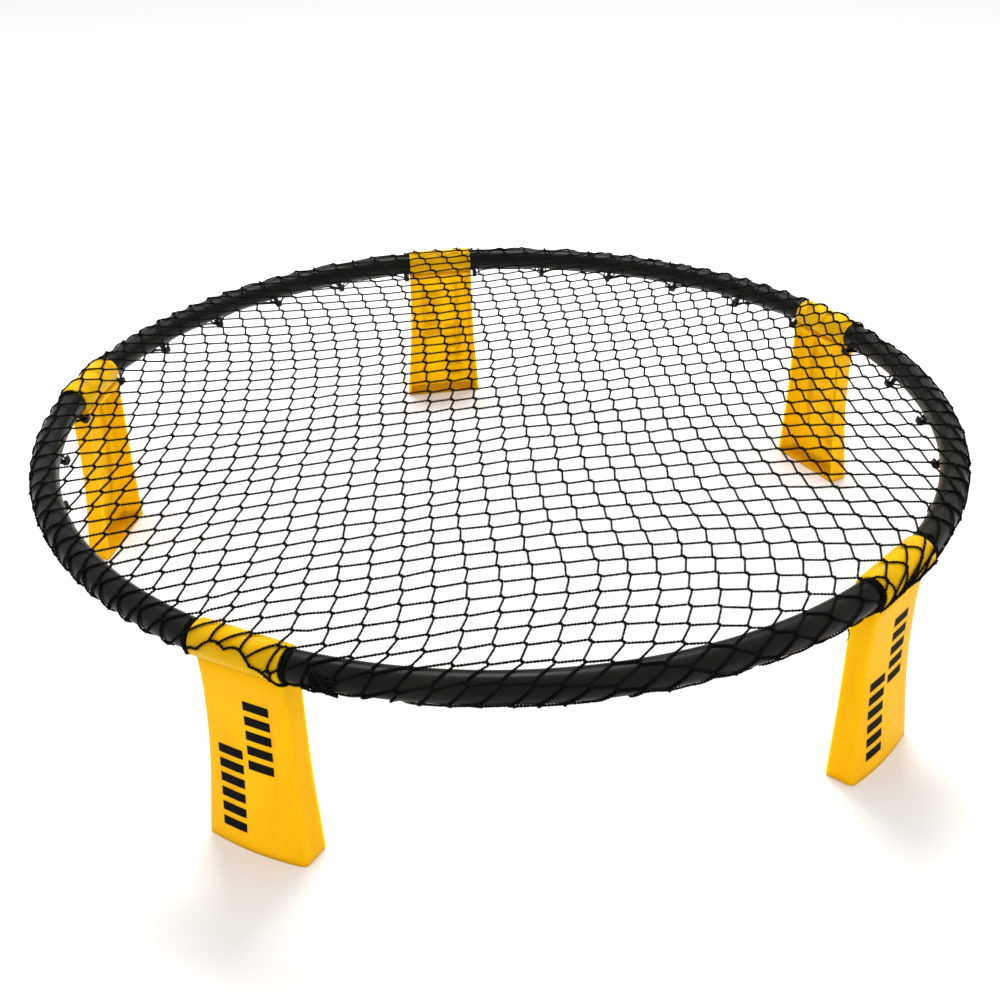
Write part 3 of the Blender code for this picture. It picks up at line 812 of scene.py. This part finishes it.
TURN_POINTS = 64
for leg in range(SIDES):
    for side in (-1, 1):
        for turn_number, skew in enumerate((0.0012, -0.0016)):
            angle = np.radians(np.linspace(105 - 10 * turn_number, -118, TURN_POINTS))
            bow = np.linspace(-1, 1, TURN_POINTS)
            beside = SLEEVE_HALF + 0.0012 + 0.0013 * turn_number + skew * bow + 0.0012 * bow ** 2
            azimuth = LEG_ONE + leg * SECTOR + side * beside / RIM_RADIUS
            places, normals = round_tube(azimuth, angle, LIE + 0.0005 * turn_number)
            border_lines.append((places, normals, np.full(TURN_POINTS, CORD_RADIUS)))

# Loose ends: the tied-off tangle beside leg_3, a small loop on leg_5 and a frayed yarn beside leg_4.
TANGLE_POINTS = 150
TANGLE_PLACE = SLEEVE_HALF + 0.033           # along the rim from the middle of leg_3
TANGLE_ANGLE = math.radians(-6)
for strand in range(2):
    along = np.linspace(0, math.tau, TANGLE_POINTS)
    start = rng.uniform(0, math.tau, 4)
    weave = 0.0070 * np.cos(2 * along + start[0]) + 0.0045 * np.cos(5 * along + start[1])
    climb = 0.0060 * np.sin(3 * along + start[2]) + 0.0032 * np.sin(4 * along + start[3])
    azimuth = LEG_ONE + 2 * SECTOR + (TANGLE_PLACE + weave) / RIM_RADIUS
    angle = TANGLE_ANGLE + climb / TUBE_RADIUS
    places, normals = round_tube(azimuth, angle, LIE + 0.0014 + 0.0010 * np.sin(3 * along + strand))
    border_lines.append((places, normals, np.full(TANGLE_POINTS, CORD_RADIUS)))

LOOP_POINTS = 40
LOOP_RADIUS = 0.0026
around = np.linspace(math.radians(-130), math.radians(150), LOOP_POINTS)
loop_azimuth = LEG_ONE + 4 * SECTOR - 0.026 / RIM_RADIUS
loop_out = HINGE_RADIUS + 0.003
loop_height = RIM_HEIGHT + 0.0185
middle = np.array([loop_out * math.cos(loop_azimuth), loop_out * math.sin(loop_azimuth), loop_height])
sideways = np.array([-math.sin(loop_azimuth), math.cos(loop_azimuth), 0])
round_loop = np.cos(around)[:, None] * sideways + np.sin(around)[:, None] * np.array([0, 0, 1])
places = middle + LOOP_RADIUS * round_loop
normals = np.tile([math.cos(loop_azimuth), math.sin(loop_azimuth), 0], (LOOP_POINTS, 1))
border_lines.append((places, normals, np.full(LOOP_POINTS, CORD_RADIUS * 0.6)))

YARN_POINTS = 30
fall = np.linspace(0, 1, YARN_POINTS)
yarn_azimuth = LEG_ONE + 3 * SECTOR - (SLEEVE_HALF + 0.038 + 0.004 * fall ** 2) / RIM_RADIUS
yarn_out = RIM_RADIUS + 0.0085 + 0.003 * np.sin(2.2 * fall)
yarn_up = -0.0112 - 0.010 * fall
places = np.stack([
    yarn_out * np.cos(yarn_azimuth),
    yarn_out * np.sin(yarn_azimuth),
    RIM_HEIGHT + yarn_up,
], axis=1)
normals = np.tile([0.3, 0.2, 1.0], (YARN_POINTS, 1))
border_lines.append((places, normals, np.linspace(0.0006, 0.0002, YARN_POINTS)))

# The row cords go from the near side to the far one in four pieces, and the others from left to right.
GROUPS = 4
net_pieces = []
for name, runs in (("row", row_runs), ("column", column_runs)):
    share = len(runs) / GROUPS
    for group in range(GROUPS):
        chosen = runs[round(group * share):round((group + 1) * share)]
        net_pieces.append(cord_object(f"net_{name}_cords_{group + 1}", laid_lines(chosen), twisted_cord))
net_pieces.append(cord_object("net_border", border_lines, twisted_cord))
for piece in net_pieces:
    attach(piece, "rim")
    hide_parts("net")

# ---- Finish ---------------------------------------------------------------------------------------
# Colours as they are, with no film look.
scene.view_settings.view_transform = "Standard"
